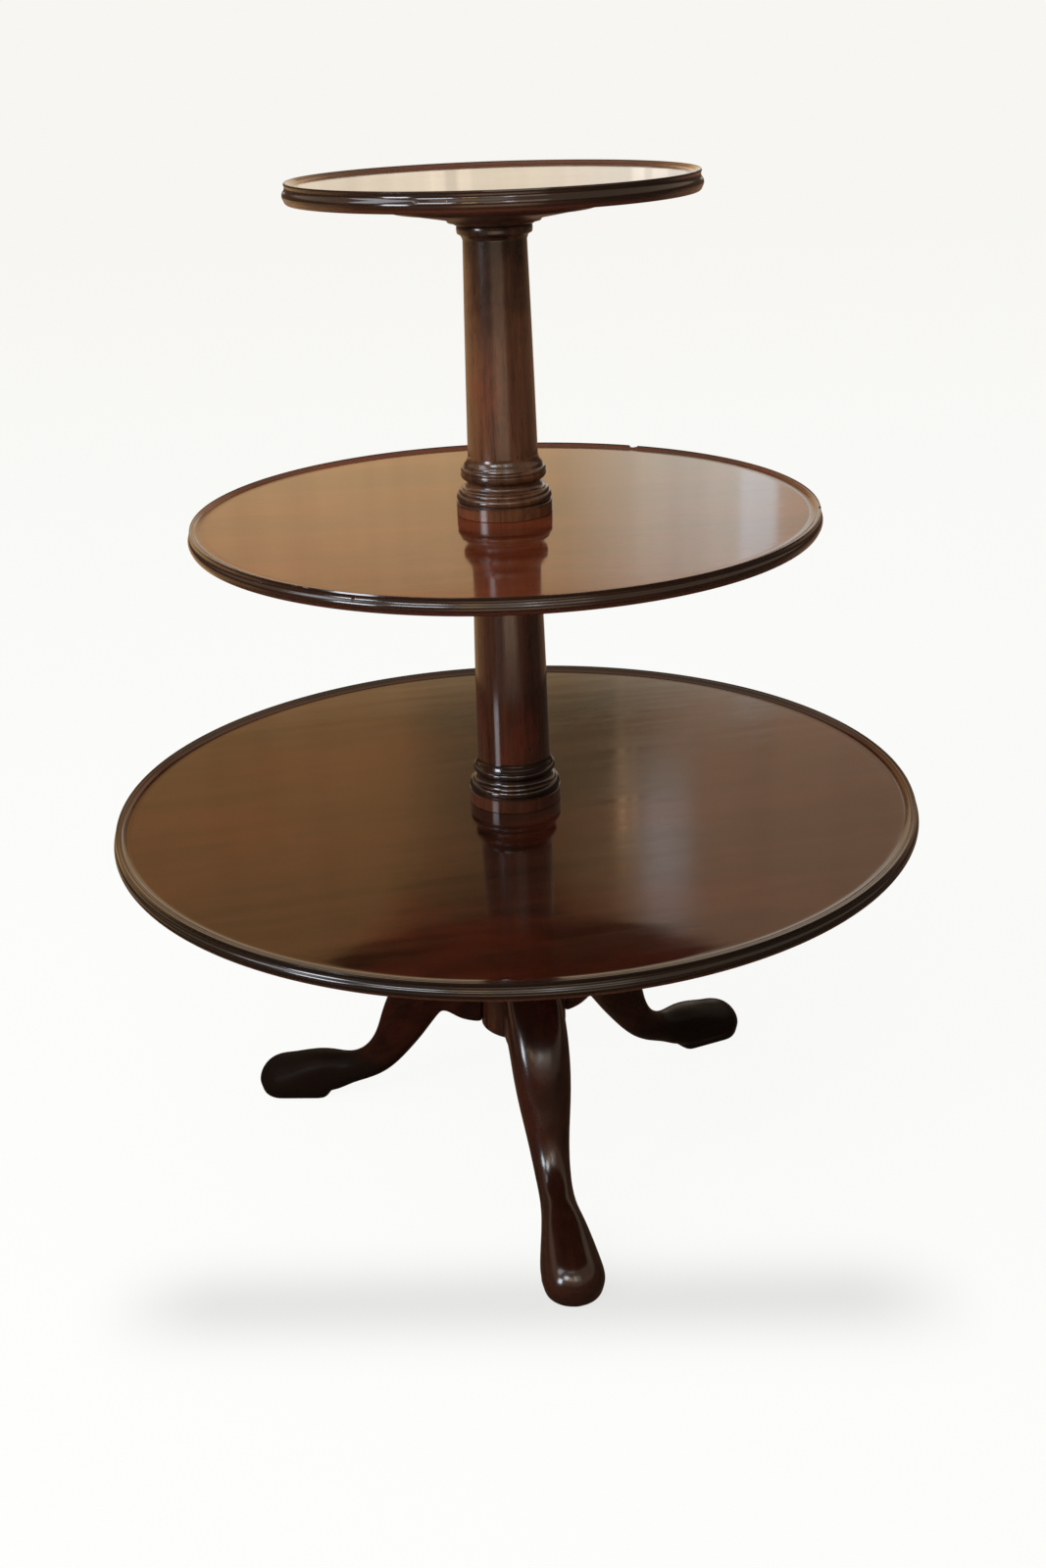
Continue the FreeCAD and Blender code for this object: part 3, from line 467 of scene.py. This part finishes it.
def section_wood(node):
    """Wood of a column section: figure up and down it, and patina in bands by height."""
    tones, centre, roughness, bands = SECTIONS[node]
    paint, shader = new_paint("wood_" + node)
    place = paint.place()
    grain = paint.turned(place, (0.0, math.radians(-90.0), 0.0), centre)
    height = paint.parts(place)[2]
    patina = sum(height.near(0.5 * (low + high), 0.5 * (high - low), softness) * strength
                 for low, high, softness, strength in bands)
    color = finish_wood(paint, shader, grain, tones, roughness, patina,
                        fineness=3.5, ripple=0.00003, hollow_reach=0.006)
    if node == "lower_barrel":
        color = paint.mix(paint.spots(place, BARREL_SPOTS) * 0.8, color, PATINA)
    paint.fill(shader.inputs["Base Color"], color)
    return paint.owner


def boss_wood():
    """Wood of the turned blocks under the trays, dull and darker towards its edge."""
    paint, shader = new_paint("wood_bosses")
    place = paint.place()
    grain = paint.turned(place, (0.0, 0.0, 0.3), (0.5, 0.1, 0.0))
    edge = paint.length(paint.scaled(place, (1.0, 1.0, 0.0))).between(0.03, 0.12) * 0.5
    color = finish_wood(paint, shader, grain, BOSS_TONES, roughness=0.30, patina=edge,
                        fineness=1.0, ripple=0.0001, hollow_reach=0.006)
    paint.fill(shader.inputs["Base Color"], color)
    return paint.owner


def leg_wood(node, azimuth, number):
    """Wood of a leg: its grain follows the slope, and the foot is nearly black."""
    paint, shader = new_paint("wood_" + node)
    place = paint.place()
    rotation = (0.0, LEG_SLOPE, math.radians(azimuth))
    grain = paint.turned(place, rotation, (0.2 * number, 0.1, 0.3))
    height = paint.parts(place)[2]
    # A dark foot: dirt, and on the back legs also painted shade for the shade they stand in
    foot = (1.0 - height.between(*FOOT_TOP)) * LEG_DIRT_AND_SHADE[node]
    foot = foot + (1.0 - height.between(*SOLE_TOP)) * SOLE_DIRT
    color = finish_wood(paint, shader, grain, LEG_TONES, LEG_ROUGHNESS[node], patina=foot,
                        fineness=2.0, ripple=0.0002, hollow_reach=0.006)
    paint.fill(shader.inputs["Base Color"], color)
    shader.inputs["Specular IOR Level"].default_value = LEG_SHINE[node]
    return paint.owner


def old_metal(name, color, roughness):
    """Old iron or steel, mottled and a little pitted."""
    paint, shader = new_paint(name)
    mottle = paint.noise(paint.place(), 180.0, 4.0, 0.6)
    tone = paint.mix(mottle, tuple(0.5 * c for c in color), color)
    paint.fill(shader.inputs["Base Color"], tone)
    paint.fill(shader.inputs["Roughness"], roughness + (mottle - 0.5) * 0.3)
    shader.inputs["Metallic"].default_value = 1.0
    bump = paint.node("ShaderNodeBump", {}, {"Distance": 0.0002, "Height": mottle})
    paint.fill(shader.inputs["Normal"], bump)
    return paint.owner


def dress(node, material):
    """Gives a CAD node its finish."""
    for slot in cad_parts[node].material_slots:
        slot.material = material


def dress_nodes():
    """Finishes for all CAD nodes but the legs, and the finer copies of the turned ones."""
    for node in TRAYS:
        dress(node, tray_wood(node))
    for node in SECTIONS:
        dress(node, section_wood(node))
    polish("upper_barrel", "stand")
    polish("lower_barrel", "stand")
    polish("bottom_tray", "bottom_tier")
    polish("middle_tray", "middle_tier", knocked_out_chips())
    polish("top_tray", "top_tier")
    bosses = boss_wood()
    iron = old_metal("old_iron", IRON, 0.6)
    steel = old_metal("old_steel", STEEL, 0.45)
    for tray in TRAYS:
        dress(tray + "_boss", bosses)
        dress(tray + "_screws", steel)
    for node in ("leg_strap", "top_retaining_washer"):
        dress(node, iron)
    for node in ("leg_strap_screws", "top_retaining_screw"):
        dress(node, steel)


def link(name, data):
    """A new object of the scene."""
    thing = bpy.data.objects.new(name, data)
    bpy.context.scene.collection.objects.link(thing)
    return thing


def finished_mesh(name, bm):
    """A mesh with a bmesh's shape, and the bmesh freed."""
    mesh = bpy.data.meshes.new(name)
    bm.to_mesh(mesh)
    bm.free()
    return mesh


def merged_copy(node):
    """A copy of a CAD node's mesh with its doubled vertices made one."""
    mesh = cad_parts[node].data.copy()
    bm = bmesh.new()
    bm.from_mesh(mesh)
    bmesh.ops.remove_doubles(bm, verts=bm.verts, dist=MERGE_DISTANCE)
    bm.to_mesh(mesh)
    bm.free()
    return mesh


def turned_again(node):
    """A turned piece's mesh, spun in finer steps from the outline along its seam."""
    bm = bmesh.new()
    bm.from_mesh(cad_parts[node].data)
    bmesh.ops.remove_doubles(bm, verts=bm.verts, dist=MERGE_DISTANCE)
    off_seam = [v for v in bm.verts if abs(v.co.y) > SEAM_WIDTH or v.co.x < 0.0]
    bmesh.ops.delete(bm, geom=off_seam, context="VERTS")
    first, last = (v for v in bm.verts if len(v.link_edges) == 1)
    if abs(first.co.z - last.co.z) < MERGE_DISTANCE:
        bm.edges.new((first, last))
    bmesh.ops.spin(bm, geom=bm.verts[:] + bm.edges[:], cent=(0.0, 0.0, 0.0),
                   axis=(0.0, 0.0, 1.0), dvec=(0.0, 0.0, 0.0), angle=math.tau,
                   steps=TURNING_STEPS, use_merge=True, use_duplicate=False)
    bmesh.ops.holes_fill(bm, edges=bm.edges, sides=0)
    bmesh.ops.recalc_face_normals(bm, faces=bm.faces)
    mesh = finished_mesh("turned_" + node, bm)
    mesh.materials.append(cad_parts[node].data.materials[0])
    return mesh


def knocked_out_chips():
    """The small solids that have gone from the middle tray's rim."""
    bm = bmesh.new()
    for azimuth, out, height, radius, stretch in CHIPS:
        around = Matrix.Rotation(math.radians(azimuth), 4, "Z")
        shape = Matrix.Diagonal((1.0, stretch, 1.0, 1.0))
        place = around @ Matrix.Translation((out, 0.0, height)) @ shape
        bmesh.ops.create_icosphere(bm, subdivisions=2, radius=radius, matrix=place)
    return link("chips", finished_mesh("chips", bm))


def polish(node, body, chips=None):
    """A copy of a turned piece whose polish mirrors cleanly, less its chips."""
    piece = link("polished_" + node, turned_again(node))
    if chips:
        cut = piece.modifiers.new("chips", "BOOLEAN")
        cut.object = chips
        cut_piece = piece.evaluated_get(bpy.context.evaluated_depsgraph_get())
        chipped = bpy.data.meshes.new_from_object(cut_piece)
        piece.modifiers.remove(cut)
        bpy.data.objects.remove(chips)
        piece.data = chipped
    piece.data.shade_smooth()
    piece.data.set_sharp_from_angle(angle=SHARP_ANGLE)
    piece.modifiers.new("clean_shading", "WEIGHTED_NORMAL").keep_sharp = True
    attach(piece, body)
    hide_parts(node)


def carve_leg(node, azimuth, number):
    """The leg as carved and worn: the solid's form with its arrises softened."""
    mesh = merged_copy(node)
    mesh.materials.clear()
    mesh.materials.append(leg_wood(node, azimuth, number))
    leg = link("carved_" + node, mesh)
    remesh = leg.modifiers.new("carving", "REMESH")
    remesh.mode = "VOXEL"
    remesh.voxel_size = LEG_VOXEL
    remesh.use_smooth_shade = True
    wear = leg.modifiers.new("wear", "SMOOTH")
    wear.factor = 0.5
    wear.iterations = LEG_WEAR_STEPS
    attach(leg, "stand")
    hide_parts(node)


def seen_by_background_rays(paint):
    """1 for camera, glossy and transmission rays, 0 for the rays that light the object."""
    rays = paint.node("ShaderNodeLightPath", {}, {}, "Is Camera Ray").socket.node
    names = ("Is Camera Ray", "Is Glossy Ray", "Is Transmission Ray")
    camera, glossy, through = (Value(paint, rays.outputs[name]) for name in names)
    return (camera + glossy + through).clamped()


def make_floor():
    """A pale floor that is white to the eye, keeps a shadow and has a soft band of shade."""
    bm = bmesh.new()
    bmesh.ops.create_grid(bm, x_segments=1, y_segments=1, size=FLOOR_SIZE)
    mesh = finished_mesh("floor", bm)
    floor = link("floor", mesh)
    paint, shader = new_paint("floor_white")
    paint.fill(shader.inputs["Base Color"], FLOOR_COLOR)
    shader.inputs["Roughness"].default_value = 1.0
    shader.inputs["Specular IOR Level"].default_value = 0.0
    forward, left = paint.parts(paint.turned(paint.place(), (0.0, 0.0, AHEAD)))[:2]
    horizon = paint.length(paint.joined(forward, left, 0.0)).between(*HORIZON_FADE)
    far = horizon.math("MAXIMUM", horizon, forward.between(*FLOOR_FADE))
    color = paint.mix(far, BACKDROP_NEAR, BACKDROP_FAR)
    across = (forward + SHADE_IN_FRONT - left * SHADE_SLANT) / SHADE_DEPTH
    shade = across.math("EXPONENT", across * across * -1.0)
    shade = shade * left.near(0.0, SHADE_HALF_WIDTH, SHADE_SOFTNESS)
    color = paint.mix(shade * SHADE_STRENGTH, color, (0.0, 0.0, 0.0))
    glow = paint.node("ShaderNodeEmission", {}, {"Color": color, "Strength": 1.0})
    lit = Value(paint, shader.outputs[0])
    share = seen_by_background_rays(paint) * (FLOOR_GLOW + (1.0 - FLOOR_GLOW) * far)
    blend = paint.node("ShaderNodeMixShader", {}, [share, lit, glow])
    paint.fill(paint.tree.nodes["Material Output"].inputs["Surface"], blend)
    mesh.materials.append(paint.owner)


def make_world():
    """A white background, and a softer even light."""
    world = bpy.data.worlds.new("studio")
    bpy.context.scene.world = world
    paint = Paint(world)
    backdrop = seen_by_background_rays(paint)
    color = paint.mix(backdrop, SKY_LIGHT, BACKDROP_FAR)
    background = paint.tree.nodes["Background"]
    paint.fill(background.inputs["Color"], color)
    strength = backdrop * (1.0 - SKY_STRENGTH) + SKY_STRENGTH
    paint.fill(background.inputs["Strength"], strength)


def camera_side(bearing, distance, height):
    """A place by its bearing from the camera's side of the stand, positive to the camera's right."""
    azimuth = CAMERA_AZIMUTH + math.radians(bearing)
    return Vector((distance * math.cos(azimuth), distance * math.sin(azimuth), height))


def glowing_card(name, bm):
    """A piece of the room that only glossy rays see, and the paint for its colour."""
    mesh = finished_mesh(name, bm)
    card = link(name, mesh)
    card.visible_camera = False
    card.visible_diffuse = False
    card.visible_transmission = False
    card.visible_shadow = False
    paint = Paint(bpy.data.materials.new(name))
    mesh.materials.append(paint.owner)
    return paint


def fill_glow(paint, color):
    """Makes a material glow in a colour."""
    glow = paint.node("ShaderNodeEmission", {}, {"Color": color, "Strength": 1.0})
    paint.fill(paint.tree.nodes["Material Output"].inputs["Surface"], glow)


def wall_color(paint, bearing, height):
    """Glow of the wall that the trays mirror, by bearing in degrees and by height."""
    right = bearing.between(0.5, 8.0)
    low = paint.mix(right, *LOW_WALL_GLOWS)
    middle = paint.mix(right, *MIDDLE_WALL_GLOWS)
    high = paint.mix(right, *HIGH_WALL_GLOWS)
    dim = bearing.near(*DIM_PART) * (1.0 - height.between(4.9, 6.6) * 0.55)
    high = paint.mix(dim * 0.75, high, DIM_GLOW)
    window = bearing.near(*WINDOW) * height.between(4.7, 6.0)
    window = window * (1.0 - height.between(6.0, 7.2) * 0.75)
    high = paint.mix(window, high, WINDOW_GLOW)
    color = paint.mix(height.between(*SKIRTING_TOP), SKIRTING_GLOW, low)
    color = paint.mix(height.between(*LOW_WALL_TOP), color, middle)
    color = paint.mix(height.between(*MIDDLE_WALL_TOP), color, high)
    tatter = paint.noise(paint.joined(bearing * 0.3, 0.0, height * 6.0), 1.0, 3.0, 0.6) - 0.5
    arch = paint.length(paint.joined((bearing + 0.8) / 7.2, (height - 8.7) / 2.8, 0.0))
    color = paint.mix((arch + tatter * 0.9).between(0.72, 1.12), ARCH_GLOW, color)
    return paint.mix(height.between(*HIGH_WALL_TOP), color, CORNICE_GLOW)


def make_room_wall():
    """The wall all round: ahead is the part that the trays mirror, with strips, panes and folds."""
    bm = bmesh.new()
    bmesh.ops.create_cone(bm, cap_ends=False, segments=180, radius1=ROOM_RADIUS,
                          radius2=ROOM_RADIUS, depth=ROOM_HEIGHT)
    bmesh.ops.translate(bm, verts=bm.verts, vec=(0.0, 0.0, 0.5 * ROOM_HEIGHT))
    paint = glowing_card("room_wall", bm)
    forward, left, height = paint.parts(paint.turned(paint.place(), (0.0, 0.0, AHEAD)))
    bearing = left.math("ARCTAN2", left * -1.0, forward) * math.degrees(1.0)
    color = wall_color(paint, bearing, height)

    in_low = 1.0 - height.between(*LOW_WALL_TOP)
    in_high = height.between(4.2, 4.7)
    strips = sum(bearing.near(*strip) for strip in STRIPS) - bearing.near(*STRIP_GAP) * 0.9
    strips = strips * 0.5 * in_low
    glint = bearing.near(*BROAD_GLINT) + bearing.near(*THIN_GLINT) * 0.6
    glint = glint * (0.35 + height.near(5.5, 0.25, 0.4)) * in_high
    panes = sum(bearing.near(*pane) for pane in NARROW_PANES) * (0.2 + 0.8 * in_low)
    broad_pane = bearing.near(*BROAD_PANE) * (1.0 - in_high)
    post = bearing.near(*POST) * (1.0 - in_high)
    folds = paint.noise(paint.joined(bearing, 0.0, height * 0.04), 1.1, 3.0, 0.6)
    patches = paint.noise(paint.joined(bearing * 0.2, 0.0, height * 0.9), 1.3, 2.0, 0.5)
    color = paint.mix(broad_pane, color, PANE_GLOW)
    color = paint.mix(post * 0.8, color, POST_GLOW)
    gain = 1.0 + (strips + panes) * 0.22 + glint * 2.2
    gain = gain + (folds - 0.5) * 0.3 + (patches - 0.5) * 0.3
    color = paint.mix(1.0, color, paint.joined(gain, gain, gain), "MULTIPLY")

    behind = paint.mix(height.between(3.5, 5.0), *BEHIND_GLOWS)
    aside = bearing.math("ABSOLUTE", bearing).between(14.0, 24.0)
    fill_glow(paint, paint.mix(aside, color, behind))


def with_patch(paint, color, bearing, patch, share=1.0):
    """A floor's colour with a glowing patch laid over it."""
    centre, half_width, softness, glow = patch
    return paint.mix(bearing.near(centre, half_width, softness) * share, color, glow)


def make_room_floor():
    """The floor that the column mirrors: dim near the stand, with light from the windows."""
    bm = bmesh.new()
    bmesh.ops.create_circle(bm, cap_ends=True, segments=96, radius=ROOM_RADIUS)
    bmesh.ops.translate(bm, verts=bm.verts, vec=(0.0, 0.0, ROOM_FLOOR_HEIGHT))
    paint = glowing_card("room_floor", bm)
    forward, left = paint.parts(paint.turned(paint.place(), (0.0, 0.0, AHEAD)))[:2]
    bearing = left.math("ARCTAN2", left * -1.0, forward * -1.0) * math.degrees(1.0)
    away = paint.length(paint.joined(forward, left, 0.0))
    color = paint.mix(away.between(1.25, 1.5), NEAR_FLOOR_GLOW, FAR_FLOOR_GLOW)
    color = with_patch(paint, color, bearing, LEFT_PATCH)
    color = with_patch(paint, color, bearing, SUN_PATCH, 0.25 + away.between(1.4, 1.9) * 0.75)
    color = with_patch(paint, color, bearing, RIGHT_PATCH)
    color = with_patch(paint, color, bearing, BACK_PATCH)
    dapple = paint.noise(paint.joined(bearing * 0.12, away * 0.6, 0.0), 1.0, 3.0, 0.6)
    color = paint.mix(dapple.between(0.45, 0.7) * 0.7, color, DAPPLE_GLOW)
    color = with_patch(paint, color, bearing, ROSY_PATCH, away.near(1.6, 0.2, 0.25) * 0.6)
    fill_glow(paint, paint.mix(away.between(0.9, 1.5), CLOSE_FLOOR_GLOW, color))


def make_room_ceiling():
    bm = bmesh.new()
    bmesh.ops.create_circle(bm, cap_ends=True, segments=96, radius=ROOM_RADIUS)
    bmesh.ops.translate(bm, verts=bm.verts, vec=(0.0, 0.0, ROOM_HEIGHT))
    fill_glow(glowing_card("room_ceiling", bm), CEILING_GLOW)


def make_lamp(name, place, size, glow, color):
    """A soft rectangular light with a given glow, the light it sends from each square metre."""
    lamp = bpy.data.lights.new(name, "AREA")
    lamp.shape = "RECTANGLE"
    lamp.size, lamp.size_y = size
    lamp.energy = glow * math.pi * size[0] * size[1]
    lamp.color = color
    thing = link(name, lamp)
    direction = LAMP_TARGET - place
    turn = direction.to_track_quat("-Z", "Y").to_matrix().to_4x4()
    thing.matrix_world = Matrix.Translation(place) @ turn


def make_lights():
    for name, (bearing, distance, height, size, glow, color) in LAMPS.items():
        make_lamp(name, camera_side(bearing, distance, height), size, glow, color)


def make_camera():
    """The photograph's view, fitted to the outlines of the trays, the column and the feet."""
    data = bpy.data.cameras.new("camera")
    data.lens = CAMERA_LENS
    data.sensor_width = SENSOR_WIDTH
    data.clip_end = 4.0 * FLOOR_SIZE
    camera = link("camera", data)
    place = Matrix.Translation(camera_side(0.0, CAMERA_DISTANCE, CAMERA_HEIGHT))
    heading = Matrix.Rotation(CAMERA_AZIMUTH + math.pi / 2 - CAMERA_YAW, 4, "Z")
    tilt = Matrix.Rotation(math.pi / 2 - CAMERA_PITCH, 4, "X")
    roll = Matrix.Rotation(CAMERA_ROLL, 4, "Z")
    camera.matrix_world = place @ heading @ tilt @ roll
    bpy.context.scene.camera = camera


make_camera()
bpy.context.scene.view_settings.view_transform = "Standard"
make_world()
make_floor()
make_room_wall()
make_room_floor()
make_room_ceiling()
make_lights()
dress_nodes()
for count, (leg_node, leg_azimuth) in enumerate(LEG_AZIMUTHS.items()):
    carve_leg(leg_node, leg_azimuth, count)
